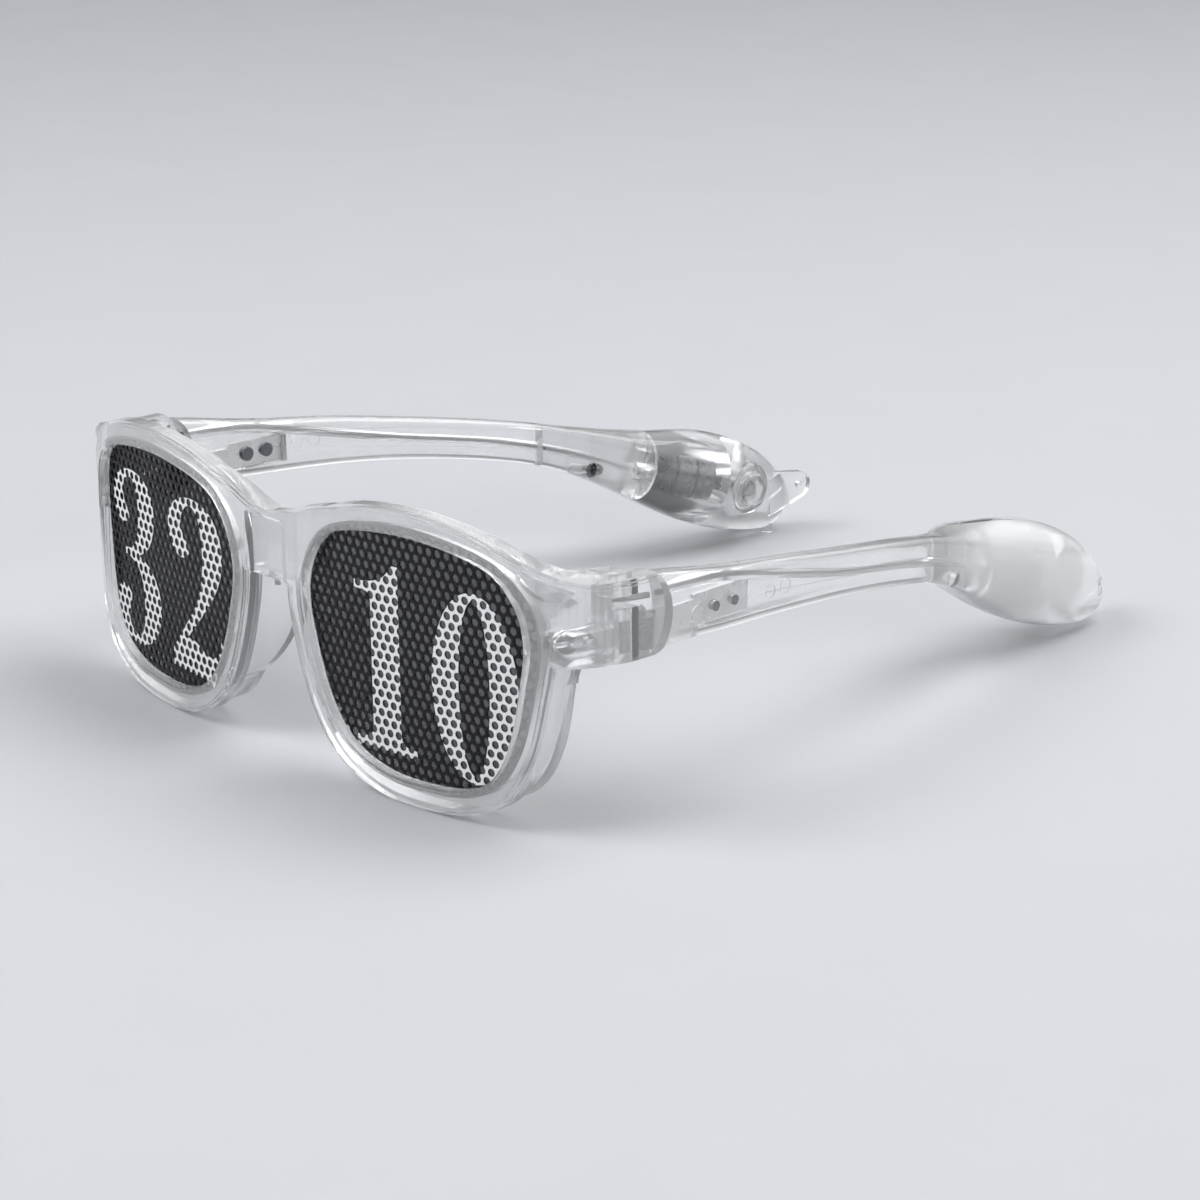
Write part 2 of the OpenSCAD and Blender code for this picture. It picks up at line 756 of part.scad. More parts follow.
module temple_left() { color(clear_tint) seat() temple(); }
module temple_right() { color(clear_tint) seat() right_side() temple(); }
module battery_cover_left() { color([0.8, 0.86, 0.9, 0.6]) seat() cover(); }
module battery_cover_right() { color([0.8, 0.86, 0.9, 0.6]) seat() right_side() cover(); }

module cover_screw() {
    translate([head_x, screw_y, screw_z]) rotate([0, 90, 0]) difference() {
        union() {
            cylinder(h = 0.9, d1 = fix_d + 1.4, d2 = fix_d, $fn = round_fn);
            cylinder(h = fix_l, d = fix_d, $fn = round_fn);
        }
        for (a = [0, 90]) rotate([0, 0, a]) translate([-0.9, -0.18, -0.1]) cube([1.8, 0.36, 0.5]);
    }
}

module cover_screw_left() { color("silver") seat() cover_screw(); }
module cover_screw_right() { color("silver") seat() right_side() cover_screw(); }

module cells() {
    for (i = [0:cell_count - 1]) bay_axis(i * cell_h) {
        cylinder(h = cell_h - 0.7, d = cell_d, $fn = round_fn);
        cylinder(h = cell_h, d = cell_d - 2.2, $fn = round_fn);
    }
}

module contact_plate() {
    bay_axis(-plate_s) cylinder(h = plate_t, d = cell_d - 1.4, $fn = round_fn);
    bay_axis(-plate_s - tab_l) translate([-0.8, -0.8, 0]) cube([1.6, 1.6, tab_l]);
}

// A bent tongue that presses the cells forward from the end of their bay
module contact_spring() {
    h = spring_h;
    bay_axis(stack_h + 0.05) rotate([90, 0, 0]) linear_extrude(3.6, center = true) polygon([
        [-1.4, 0], [1.4, 0], [1.9, 0.3], [4.2, h - 0.3], [4.2, h], [-3.6, h],
        [-3.6, h - 0.35], [3.3, h - 0.35], [1.4, 0.4], [-1.4, 0.4]
    ]);
}

module driver_board() {
    button_axis(board_x) cylinder(h = board_t, d = cavity_d - 2 * seat_gap, $fn = round_fn);
    difference() {
        button_axis(switch_x) translate([-switch_w / 2, -switch_w / 2, 0])
            cube([switch_w, switch_w, switch_h]);
        button_axis(switch_x - 1)
            cylinder(h = plunger_x + press_travel + slide_gap - switch_x + 1, d = plunger_d + 2 * run_gap,
                $fn = round_fn);
    }
}

module push_button() {
    edge = 0.4;
    button_axis(button_x) {
        cylinder(h = edge, d1 = button_d - 2 * edge, d2 = button_d, $fn = round_fn);
        translate([0, 0, edge]) cylinder(h = flange_x - button_x - edge, d = button_d, $fn = round_fn);
        translate([0, 0, flange_x - button_x]) cylinder(h = flange_t, d = button_d + 1.4, $fn = round_fn);
        cylinder(h = plunger_x - button_x, d = plunger_d, $fn = round_fn);
    }
}

module button_cells_left() { color("silver") seat() cells(); }
module button_cells_right() { color("silver") seat() right_side() cells(); }
module contact_plate_left() { color("gold") seat() contact_plate(); }
module contact_plate_right() { color("gold") seat() right_side() contact_plate(); }
module contact_spring_left() { color("goldenrod") seat() contact_spring(); }
module contact_spring_right() { color("goldenrod") seat() right_side() contact_spring(); }
module driver_board_left() { color("darkgreen") seat() driver_board(); }
module driver_board_right() { color("darkgreen") seat() right_side() driver_board(); }
module push_button_left() { color(clear_tint) seat() push_button(); }
module push_button_right() { color(clear_tint) seat() right_side() push_button(); }

module temple_wire() {
    swept(wire_route, round_section(wire_d));
}

module temple_wire_left() { color([0.1, 0.1, 0.1]) seat() temple_wire(); }
module temple_wire_right() { color([0.1, 0.1, 0.1]) seat() right_side() temple_wire(); }

front_frame();
rear_frame();
lens_left();
lens_right();
film_left();
film_right();
led_left();
led_right();
front_wire_left();
front_wire_right();
front_hinge_left();
front_hinge_right();
hinge_screw_left();
hinge_screw_right();
temple_hinge_left();
temple_hinge_right();
hinge_rivets_left();
hinge_rivets_right();
temple_left();
temple_right();
battery_cover_left();
battery_cover_right();
cover_screw_left();
cover_screw_right();
button_cells_left();
button_cells_right();
contact_plate_left();
contact_plate_right();
contact_spring_left();
contact_spring_right();
driver_board_left();
driver_board_right();
push_button_left();
push_button_right();
temple_wire_left();
temple_wire_right();
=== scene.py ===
import math

import bpy
from bpy.props import FloatProperty, FloatVectorProperty, PointerProperty
from mathutils import Matrix, Vector


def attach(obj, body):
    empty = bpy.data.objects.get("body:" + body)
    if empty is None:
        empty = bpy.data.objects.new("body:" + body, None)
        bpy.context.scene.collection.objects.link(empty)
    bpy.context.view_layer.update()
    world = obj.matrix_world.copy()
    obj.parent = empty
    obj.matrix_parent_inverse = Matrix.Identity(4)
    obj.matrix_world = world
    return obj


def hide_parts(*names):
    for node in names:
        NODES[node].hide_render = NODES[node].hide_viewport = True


bl_info = {
    "name": "Light-up sunglasses",
    "version": (1, 0, 0),
    "blender": (4, 5, 0),
    "location": "View3D > Sidebar > Sunglasses",
    "description": "Finishes, perforated film and stage for the packed sunglasses",
    "category": "Object",
}

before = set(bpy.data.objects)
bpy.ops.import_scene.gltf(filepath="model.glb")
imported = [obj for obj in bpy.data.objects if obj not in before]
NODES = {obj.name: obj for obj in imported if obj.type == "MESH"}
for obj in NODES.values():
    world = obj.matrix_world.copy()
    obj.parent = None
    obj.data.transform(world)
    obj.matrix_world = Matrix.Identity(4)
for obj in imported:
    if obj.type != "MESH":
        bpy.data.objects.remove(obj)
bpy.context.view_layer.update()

# The source is drawn in millimetres, the scene in metres
PER_METRE = 1000
# Drop of the temples' feet over their distance from the front, which leans the part
LEAN = math.atan2(2.2, 158.7)
# How far behind the front the middle of the leaned part's depth lies, in millimetres
MIDDLE = 82.539400
SEAT = (
    Matrix.Scale(1 / PER_METRE, 4)
    @ Matrix.Translation((0, -MIDDLE, 0))
    @ Matrix.Rotation(LEAN, 4, "X")
)

# The camera in the source's millimetres, with its azimuth, elevation and roll in degrees
CAMERA_PLACE = (465.03, -339.87, 213.29)
CAMERA_ANGLES = (48.301, 17.967, -0.618)
CAMERA_LENS = 105.65
CAMERA_SENSOR = 36

# The front's curve and its lens openings, in millimetres
FRONT_R = 288.0
FACE_D = 2.0
CORNER_R = 18.0
CORNER_X = 51.8
CORNER_Y = FRONT_R - math.sqrt((FRONT_R - CORNER_R + FACE_D) ** 2 - CORNER_X ** 2)
LENS_X = 34.8
LENS_Z = 25.6
LENS_HALF_W = 24.9
LENS_HALF_H = 21.2
FILM_REACH = 1.0
FILM_DEPTH = 0.01
# Sheets of holes: degrees between a hole's corners, holes in a row, pairs of rows, and the cell
# that lies on the lens's middle line at the height MIDDLE_Z
RING_STEP = 30
ROW_HOLES = 29
ROW_PAIRS = 14
MIDDLE_HOLE = 14
MIDDLE_ROW = 18
MIDDLE_Z = 31.2
CELL_MERGE = 0.01
# Where a cutter starts before the film, and its thickness
CUTTER_DEPTH = -1
CUTTER_THICKNESS = 2
# Points on each part of a smooth curve
OPENING_STEPS = 5
FIGURE_STEPS = 4

# Places along the temples, in metres: from the knuckles to the leaf, over which the painted shade
# on the hinges fades out, and from the arm to the bulb
KNUCKLE_END, LEAF_START = -0.0550, -0.0525
NECK_START, NECK_END = 0.022, 0.045
# Free space behind each board, and how near its back face a corner lies
BOARD_GAP = 0.00015
BACK_REACH = 0.0001
# Faces that meet at less than this are shaded smooth, corners nearer than this are merged
SMOOTH_ANGLE = math.radians(30)
MERGE_REACH = 0.000002

ACRYLIC_IOR = 1.49
RESIN_IOR = 1.54
# Haze of the bulbs and of the covers, as shares of the other mouldings' haze
BULB_HAZE = 2.6
COVER_HAZE = 0.4

# Each lamp: its place, its size and its share of the key lamp's power
LAMPS = {
    "key": ((-0.35, -0.75, 0.95), 0.7, 1.0),
    "top": ((0.25, 0.55, 1.1), 0.9, 1.1),
    "rim": ((1.1, 0.2, 0.45), 0.35, 0.45),
}
LAMP_AIM = Vector((0, 0, 0.02))
FLOOR_RADIUS = 4
SKY_COLOR = (0.80, 0.82, 0.85)
SKY_STRENGTH = 0.45
BACKDROP_COLOR = (0.74, 0.75, 0.77)
# What clear plastic bends or mirrors: a dome that has its two strengths at two heights
DOME_COLOR = (0.97, 0.98, 1)
DOME_HEIGHTS = (0.05, 0.55)
DOME_STRENGTHS = (0.12, 1.8)

OPENING_KNOTS = [
    (0.985, 0.36), (0.90, 0.70), (0.66, 0.905), (0.06, 1.00), (-0.56, 0.925), (-0.86, 0.73),
    (-0.998, 0.34), (-0.93, -0.12), (-0.78, -0.56), (-0.57, -0.835), (-0.26, -0.975),
    (0.07, -1.00), (0.45, -0.955), (0.72, -0.80), (0.87, -0.50), (0.945, -0.08),
]

# Outlines of the figures in a box 18.5 wide and 33 high; each line is one smooth stroke
FIGURES = {
    "3": [[
        [(7.2, 23.6), (5.2, 22.4), (2.6, 23.0), (1.0, 25.6), (1.5, 29.4), (4.8, 32.2), (9.6, 33.0),
         (14.6, 31.6), (17.0, 28.0), (16.8, 23.4), (14.6, 19.6), (10.6, 17.2)],
        [(10.6, 17.2), (15.2, 15.6), (18.2, 11.6), (18.2, 6.6), (15.0, 2.0), (9.4, 0.0),
         (4.4, 0.8), (1.2, 3.4), (0.4, 7.0), (2.0, 9.8), (4.8, 10.2), (6.8, 8.8)],
        [(6.8, 8.8), (5.9, 6.6), (5.2, 4.4), (6.2, 2.4), (8.8, 1.6), (11.0, 3.2), (12.0, 7.0),
         (11.8, 11.6), (10.2, 14.8), (7.0, 16.2), (5.0, 16.4)],
        [(5.0, 16.4), (5.0, 17.6)],
        [(5.0, 17.6), (7.8, 18.2), (10.0, 20.6), (10.9, 24.4), (10.8, 28.2), (9.4, 31.0),
         (7.4, 31.5), (5.6, 30.2), (5.0, 28.2), (5.6, 26.2), (6.8, 25.0), (7.2, 23.6)],
    ]],
    "2": [[
        [(7.4, 22.6), (5.4, 21.4), (2.8, 21.9), (0.7, 24.6), (0.6, 28.6), (3.8, 31.9), (9.2, 33.0),
         (14.8, 31.5), (18.0, 27.3), (18.1, 21.8), (15.4, 16.6), (10.4, 11.2), (5.6, 6.6)],
        [(5.6, 6.6), (8.6, 6.4), (12.2, 4.9), (15.0, 5.2), (16.6, 6.6), (17.2, 9.2)],
        [(17.2, 9.2), (18.2, 9.2)],
        [(18.2, 9.2), (17.6, 4.6), (16.2, 0.2)],
        [(16.2, 0.2), (0.2, 0.2)],
        [(0.2, 0.2), (0.3, 3.4)],
        [(0.3, 3.4), (5.0, 8.6), (9.6, 14.2), (11.6, 19.6), (11.9, 25.0), (11.0, 29.6),
         (8.6, 31.6), (6.2, 30.6), (4.9, 28.4), (5.2, 26.2), (6.6, 24.6), (7.4, 22.6)],
    ]],
    "1": [[
        [(2.4, 0.2), (16.6, 0.2)],
        [(16.6, 0.2), (16.6, 1.6)],
        [(16.6, 1.6), (13.8, 2.0), (13.0, 3.4)],
        [(13.0, 3.4), (13.0, 33.0)],
        [(13.0, 33.0), (11.8, 33.0)],
        [(11.8, 33.0), (9.2, 30.4), (5.6, 29.2), (2.6, 29.0)],
        [(2.6, 29.0), (2.6, 27.6)],
        [(2.6, 27.6), (5.6, 27.4), (6.4, 26.2)],
        [(6.4, 26.2), (6.4, 3.4)],
        [(6.4, 3.4), (5.4, 2.0), (2.4, 1.6)],
        [(2.4, 1.6), (2.4, 0.2)],
    ]],
    "0": [
        [[(9.2 + reach * math.sin(turn * math.pi / 8), 16.5 - rise * math.cos(turn * math.pi / 8))
          for turn in range(17)]]
        for reach, rise in ((9.1, 16.5), (3.3, 15.2))
    ],
}
# Each lens holds two plain figures: the figure, and the corner of its box
PRINTS = {
    "right": [("3", -56.6, 7.6), ("2", -34.2, 7.4)],
    "left": [("1", 18.6, 7.6), ("0", 38.8, 6.4)],
}


class FilmSettings(bpy.types.PropertyGroup):
    hole_diameter: FloatProperty(name="Hole diameter",
                                 description="Diameter of a hole in the film",
                                 default=0.00146, unit="LENGTH")
    hole_pitch: FloatProperty(name="Hole pitch", description="Distance between neighbouring holes",
                              default=0.00194, unit="LENGTH")
    film_thickness: FloatProperty(name="Film thickness", description="Thickness of the film",
                                  default=0.00024, unit="LENGTH")
    ink_thickness: FloatProperty(name="Ink thickness", description="Thickness of the white print",
                                 default=0.00003, unit="LENGTH")
    film_color: FloatVectorProperty(name="Film", description="Colour of the film",
                                    subtype="COLOR", default=(0.010, 0.010, 0.011))
    ink_color: FloatVectorProperty(name="Print", description="Colour of the figures",
                                   subtype="COLOR", default=(0.86, 0.87, 0.88))


class PlasticSettings(bpy.types.PropertyGroup):
    clear_tint: FloatVectorProperty(name="Clear plastic", description="Tint of the clear moulding",
                                    subtype="COLOR", default=(0.95, 0.955, 0.96))
    smoke_tint: FloatVectorProperty(name="Lens", description="Tint of the lens", subtype="COLOR",
                                    default=(0.11, 0.11, 0.115))
    haze: FloatProperty(name="Haze", description="Share of light that the clear plastic scatters",
                        default=0.17, min=0, max=1)


class StageSettings(bpy.types.PropertyGroup):
    floor_color: FloatVectorProperty(name="Floor", description="Colour of the floor",
                                     subtype="COLOR", default=(0.50, 0.51, 0.53))
    key_power: FloatProperty(name="Key lamp", description="Power of the main lamp in watts",
                             default=9.0)


def select_only(piece):
    """Makes one piece the selected and active one."""
    bpy.ops.object.select_all(action="DESELECT")
    piece.select_set(True)
    bpy.context.view_layer.objects.active = piece


def edit_whole(piece, *steps):
    """Runs mesh operators, each given with its values, on the whole of a piece."""
    select_only(piece)
    bpy.ops.object.mode_set(mode="EDIT")
    for operator, values in steps:
        bpy.ops.mesh.select_all(action="SELECT")
        operator(**values)
    bpy.ops.object.mode_set(mode="OBJECT")


def apply_modifier(piece, kind, **values):
    """Adds one modifier to a piece, sets its values and applies it."""
    select_only(piece)
    made = piece.modifiers.new(kind.lower(), kind)
    for key, value in values.items():
        setattr(made, key, value)
    bpy.ops.object.modifier_apply(modifier=made.name)


def thicken(piece, thickness):
    """Gives a flat sheet its thickness, upward whichever way the sheet faces."""
    up = sum(face.normal.z * face.area for face in piece.data.polygons) > 0
    apply_modifier(piece, "SOLIDIFY", thickness=thickness, offset=1 if up else -1)


def smooth_run(points, steps):
    """Points on a smooth curve through a list of points."""
    if len(points) == 2:
        return [points[0]]
    made = []
    last = len(points) - 1
    for i in range(last):
        a, b, c, d = (Vector(points[max(min(k, last), 0)]) for k in range(i - 1, i + 3))
        for j in range(steps):
            t = j / steps
            made.append(0.5 * (2 * b + (c - a) * t + (2 * a - 5 * b + 4 * c - d) * t * t
                               + (3 * b - a - 3 * c + d) * t ** 3))
    return made


def lens_outline(grow, side):
    """The lens opening, moved outward by grow, in millimetres."""
    knots = [(k[0] * LENS_HALF_W, k[1] * LENS_HALF_H) for k in OPENING_KNOTS]
    around = smooth_run(knots[-1:] + knots + knots[:2], OPENING_STEPS)
    around = around[OPENING_STEPS:-OPENING_STEPS]
    made = []
    for i, point in enumerate(around):
        along = (around[(i + 1) % len(around)] - around[i - 1]).normalized()
        x, z = point + grow * Vector((along.y, -along.x))
        made.append(Vector((side * (LENS_X + x), LENS_Z + z)))
    return made


def plan_y(x, depth):
    """How far back the front's curve is at x, depth behind the film's plane."""
    x = abs(x)
    if x <= CORNER_X * (FRONT_R - depth) / (FRONT_R - CORNER_R + FACE_D):
        return FRONT_R - math.sqrt((FRONT_R - depth) ** 2 - x * x)
    return CORNER_Y - math.sqrt(max((CORNER_R - FACE_D - depth) ** 2 - (x - CORNER_X) ** 2, 0))


def bend_to_front(piece):
    """Takes a flat piece, drawn in width, height and depth, onto the front's curve."""
    for vertex in piece.data.vertices:
        x, z, depth = vertex.co
        vertex.co = SEAT @ Vector((x, plan_y(x, depth), z))
    edit_whole(piece, (bpy.ops.mesh.normals_make_consistent, {"inside": False}))


def flat_solid(name, loops, depth, thickness):
    """Fills closed outlines, the inner ones as holes, and gives the sheet its thickness."""
    verts, edges = [], []
    for loop in loops:
        first = len(verts)
        verts += [(p[0], p[1], depth) for p in loop]
        edges += [(first + i, first + (i + 1) % len(loop)) for i in range(len(loop))]
    mesh = bpy.data.meshes.new(name)
    mesh.from_pydata(verts, edges, [])
    piece = bpy.data.objects.new(name, mesh)
    bpy.context.collection.objects.link(piece)
    edit_whole(
        piece,
        (bpy.ops.mesh.fill, {"use_beauty": True}),
        (bpy.ops.mesh.normals_make_consistent, {"inside": False}),
    )
    thicken(piece, thickness)
    return piece


def hole_sheet(name, centre, pitch, radius, depth, thickness):
    """A flat sheet of holes in staggered rows: one cell, repeated along a row and up the sheet."""
    bpy.ops.object.select_all(action="DESELECT")
    bpy.ops.mesh.primitive_circle_add(vertices=360 // RING_STEP, radius=radius,
                                      location=(0, 0, 0))
    cell = bpy.context.object
    cell.name = name
    edit_whole(cell, (bpy.ops.mesh.extrude_edges_move, {}))
    # The inner ring becomes the hole, the outer one, still selected, the cell's hexagon
    for vertex in cell.data.vertices:
        step = round(math.degrees(math.atan2(vertex.co.y, vertex.co.x)) / RING_STEP)
        reach = radius
        if vertex.select:
            reach = pitch / 2 if step % 2 == 0 else pitch / math.sqrt(3)
        angle = math.radians(RING_STEP * step)
        vertex.co = (centre.x + reach * math.cos(angle), centre.y + reach * math.sin(angle), depth)
    row = pitch * math.sqrt(0.75)
    runs = ((2, (pitch / 2, row, 0)), (ROW_HOLES, (pitch, 0, 0)), (ROW_PAIRS, (0, 2 * row, 0)))
    for count, offset in runs:
        apply_modifier(cell, "ARRAY", count=count, use_relative_offset=False,
                       use_constant_offset=True, constant_offset_displace=offset)
    edit_whole(
        cell,
        (bpy.ops.mesh.remove_doubles, {"threshold": CELL_MERGE}),
        (bpy.ops.mesh.normals_make_consistent, {"inside": False}),
    )
    thicken(cell, thickness)
    return cell


def keep_inside(piece, cutter):
    """Keeps what of a piece lies inside a cutter."""
    apply_modifier(piece, "BOOLEAN", operation="INTERSECT", solver="EXACT", object=cutter)
    bpy.data.objects.remove(cutter)


def material(name, color, roughness, metallic=0.0, transmission=0.0, ior=1.5):
    """A new material with the plain values of its main shader."""
    made = bpy.data.materials.new(name)
    made.use_nodes = True
    shader = made.node_tree.nodes["Principled BSDF"]
    shader.inputs["Base Color"].default_value = (*color, 1)
    shader.inputs["Roughness"].default_value = roughness
    shader.inputs["Metallic"].default_value = metallic
    shader.inputs["Transmission Weight"].default_value = transmission
    shader.inputs["IOR"].default_value = ior
    made.diffuse_color = (*color, 1)
    return made


def noise_node(tree, scale, detail, vector):
    """A noise texture that reads one vector."""
    noise = tree.nodes.new("ShaderNodeTexNoise")
    noise.inputs["Scale"].default_value = scale
    noise.inputs["Detail"].default_value = detail
    tree.links.new(vector, noise.inputs["Vector"])
    return noise


def range_node(tree, value, reads, gives, smooth=False):
    """Turns one range of a value into another."""
    level = tree.nodes.new("ShaderNodeMapRange")
    if smooth:
        level.interpolation_type = "SMOOTHSTEP"
    level.inputs["From Min"].default_value, level.inputs["From Max"].default_value = reads
    level.inputs["To Min"].default_value, level.inputs["To Max"].default_value = gives
    tree.links.new(value, level.inputs["Value"])
    return level


def add_noise(made, scale, detail, low, high):
    """Varies a material's roughness between low and high with noise."""
    tree = made.node_tree
    place = tree.nodes.new("ShaderNodeTexCoord")
    noise = noise_node(tree, scale, detail, place.outputs["Object"])
    level = range_node(tree, noise.outputs["Fac"], (0.3, 0.7), (low, high))
    tree.links.new(level.outputs["Result"], tree.nodes["Principled BSDF"].inputs["Roughness"])


def add_bump(made, scale, detail, depth, strength, stretch=(1, 1, 1)):
    """Raises a material's surface with noise by depth, in metres."""
    tree = made.node_tree
    place = tree.nodes.new("ShaderNodeTexCoord")
    turn = tree.nodes.new("ShaderNodeMapping")
    turn.inputs["Scale"].default_value = stretch
    tree.links.new(place.outputs["Object"], turn.inputs["Vector"])
    noise = noise_node(tree, scale, detail, turn.outputs["Vector"])
    bump = tree.nodes.new("ShaderNodeBump")
    bump.inputs["Strength"].default_value = strength
    bump.inputs["Distance"].default_value = depth
    tree.links.new(noise.outputs["Fac"], bump.inputs["Height"])
    normal = tree.nodes["Principled BSDF"].inputs["Normal"]
    if normal.links:
        tree.links.new(normal.links[0].from_socket, bump.inputs["Normal"])
    tree.links.new(bump.outputs["Normal"], normal)


def add_change(made, socket, places, values):
    """Changes one value of a material between two places along the temples, in metres."""
    tree = made.node_tree
    place = tree.nodes.new("ShaderNodeTexCoord")
    split = tree.nodes.new("ShaderNodeSeparateXYZ")
    tree.links.new(place.outputs["Object"], split.inputs["Vector"])
    level = range_node(tree, split.outputs["Y"], places, values, smooth=True)
    tree.links.new(level.outputs["Result"], tree.nodes["Principled BSDF"].inputs[socket])


def cover(piece, made):
    """Gives a piece one material in place of those it has."""
    piece.data.materials.clear()
    piece.data.materials.append(made)


def dress(made, *names):
    """Gives CAD nodes a material, both sides of a name where it has them."""
    for name in names:
        for node in (name, name + "_left", name + "_right"):
            if node in NODES:
                cover(NODES[node], made)


def node_copy(node, name):
    """A copy of a CAD node with its own mesh."""
    piece = NODES[node].copy()
    piece.data = piece.data.copy()
    piece.name = name
    bpy.context.collection.objects.link(piece)
    return piece


def smooth_copy(node, name, body):
    """Shows a merged copy of a CAD node, its gentle edges shaded smooth, in the node's place."""
    piece = node_copy(node, name)
    select_only(piece)
    bpy.ops.mesh.customdata_custom_splitnormals_clear()
    edit_whole(piece, (bpy.ops.mesh.remove_doubles, {"threshold": MERGE_REACH}))
    bpy.ops.object.shade_smooth_by_angle(angle=SMOOTH_ANGLE)
    apply_modifier(piece, "WEIGHTED_NORMAL", mode="FACE_AREA", weight=50, keep_sharp=True)
    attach(piece, body)
    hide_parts(node)


class SUNGLASSES_OT_camera(bpy.types.Operator):
    """Places the camera at the photograph's viewpoint"""
    bl_idname = "sunglasses.camera"
    bl_label = "Camera"

    def execute(self, context):
        az, el, roll = (math.radians(v) for v in CAMERA_ANGLES)
        back = Vector((math.sin(az) * math.cos(el), -math.cos(az) * math.cos(el), math.sin(el)))
        right = Vector((math.cos(az), math.sin(az), 0))
        up = back.cross(right)
        side = math.cos(roll) * right + math.sin(roll) * up
        top = math.cos(roll) * up - math.sin(roll) * right
        turn = Matrix.Rotation(LEAN, 3, "X")
        bpy.ops.object.camera_add(location=SEAT @ Vector(CAMERA_PLACE))
        camera = context.object
        axes = Matrix((turn @ side, turn @ top, turn @ back)).transposed()
        camera.rotation_euler = axes.to_euler()
        camera.data.lens = CAMERA_LENS
        camera.data.sensor_width = CAMERA_SENSOR
        camera.data.clip_start = 0.01
        context.scene.camera = camera
        return {"FINISHED"}


def background(tree, color, strength=1.0):
    """A plain light of the world."""
    made = tree.nodes.new("ShaderNodeBackground")
    made.inputs["Color"].default_value = (*color, 1)
    made.inputs["Strength"].default_value = strength
    return made


def mixed(tree, share, first, second):
    """Mixes two of the world's lights by the share of the second."""
    made = tree.nodes.new("ShaderNodeMixShader")
    tree.links.new(share, made.inputs["Fac"])
    tree.links.new(first, made.inputs[1])
    tree.links.new(second, made.inputs[2])
    return made.outputs["Shader"]


def studio_world():
    """A soft sky, a pale backdrop for the camera, and a graded dome for bent and mirrored rays."""
    world = bpy.data.worlds.new("studio")
    world.use_nodes = True
    tree = world.node_tree
    sky = background(tree, SKY_COLOR, SKY_STRENGTH)
    backdrop = background(tree, BACKDROP_COLOR)
    dome = background(tree, DOME_COLOR)
    place = tree.nodes.new("ShaderNodeTexCoord")
    height = tree.nodes.new("ShaderNodeSeparateXYZ")
    tree.links.new(place.outputs["Generated"], height.inputs["Vector"])
    level = range_node(tree, height.outputs["Z"], DOME_HEIGHTS, DOME_STRENGTHS, smooth=True)
    tree.links.new(level.outputs["Result"], dome.inputs["Strength"])
    seen = tree.nodes.new("ShaderNodeLightPath")
    bent = tree.nodes.new("ShaderNodeMath")
    bent.operation = "MAXIMUM"
    tree.links.new(seen.outputs["Is Glossy Ray"], bent.inputs[0])
    tree.links.new(seen.outputs["Is Transmission Ray"], bent.inputs[1])
    light = mixed(tree, bent.outputs["Value"], sky.outputs["Background"],
                  dome.outputs["Background"])
    light = mixed(tree, seen.outputs["Is Camera Ray"], light, backdrop.outputs["Background"])
    tree.links.new(light, tree.nodes["World Output"].inputs["Surface"])
    return world


class SUNGLASSES_OT_stage(bpy.types.Operator):
    """Lays the pale floor and sets the soft studio light"""
    bl_idname = "sunglasses.stage"
    bl_label = "Stage"

    def execute(self, context):
        values = context.scene.sunglasses_stage
        bpy.ops.object.select_all(action="DESELECT")
        bpy.ops.mesh.primitive_circle_add(vertices=64, radius=FLOOR_RADIUS, fill_type="NGON")
        floor = context.object
        floor.name = "floor"
        pale = material("pale_floor", values.floor_color, 0.85)
        add_noise(pale, 40, 3, 0.8, 0.9)
        floor.data.materials.append(pale)
        for name, (place, size, share) in LAMPS.items():
            bpy.ops.object.light_add(type="AREA", location=place)
            lamp = context.object
            lamp.name = name
            lamp.data.energy = values.key_power * share
            lamp.data.size = size
            aim = LAMP_AIM - Vector(place)
            lamp.rotation_euler = aim.to_track_quat("-Z", "Y").to_euler()
        context.scene.world = studio_world()
        context.scene.view_settings.view_transform = "Standard"
        return {"FINISHED"}


class SUNGLASSES_OT_plastic(bpy.types.Operator):
    """Gives the mouldings, lenses, diodes and buttons their clear finishes"""
    bl_idname = "sunglasses.plastic"
    bl_label = "Clear plastic"

    def execute(self, context):
        values = context.scene.sunglasses_plastic
        clear = material("clear_moulding", values.clear_tint, 0.04,
                         transmission=1 - values.haze, ior=ACRYLIC_IOR)
        add_noise(clear, 260, 4, 0.02, 0.07)
        add_bump(clear, 55, 2, 0.00025, 0.35, (1, 0.5, 1))
        add_bump(clear, 900, 2, 0.00001, 0.2)
        dress(clear, "front_frame", "rear_frame")
        arm = material("clear_temple", values.clear_tint, 0.05, ior=ACRYLIC_IOR)
        add_noise(arm, 220, 4, 0.03, 0.08)
        add_bump(arm, 45, 2, 0.00025, 0.35, (1, 0.4, 1))
        add_change(arm, "Transmission Weight", (NECK_START, NECK_END),
                   (1 - values.haze, 1 - BULB_HAZE * values.haze))
        dress(arm, "temple")
        door = material("clear_cover", [v * 0.99 for v in values.clear_tint], 0.06,
                        transmission=1 - COVER_HAZE * values.haze, ior=ACRYLIC_IOR)
        add_noise(door, 300, 4, 0.03, 0.10)
        add_bump(door, 70, 2, 0.0002, 0.35)
        dress(door, "battery_cover")
        button = material("clear_button", values.clear_tint, 0.12, transmission=0.9,
                          ior=ACRYLIC_IOR)
        add_noise(button, 400, 3, 0.08, 0.2)
        dress(button, "push_button")
        smoke = material("smoke_lens", values.smoke_tint, 0.03, transmission=1.0,
                         ior=ACRYLIC_IOR)
        add_noise(smoke, 200, 3, 0.02, 0.05)
        dress(smoke, "lens")
        resin = material("diode_resin", (0.97, 0.98, 0.99), 0.03, transmission=1.0,
                         ior=RESIN_IOR)
        add_noise(resin, 300, 2, 0.02, 0.05)
        dress(resin, "led")
        return {"FINISHED"}


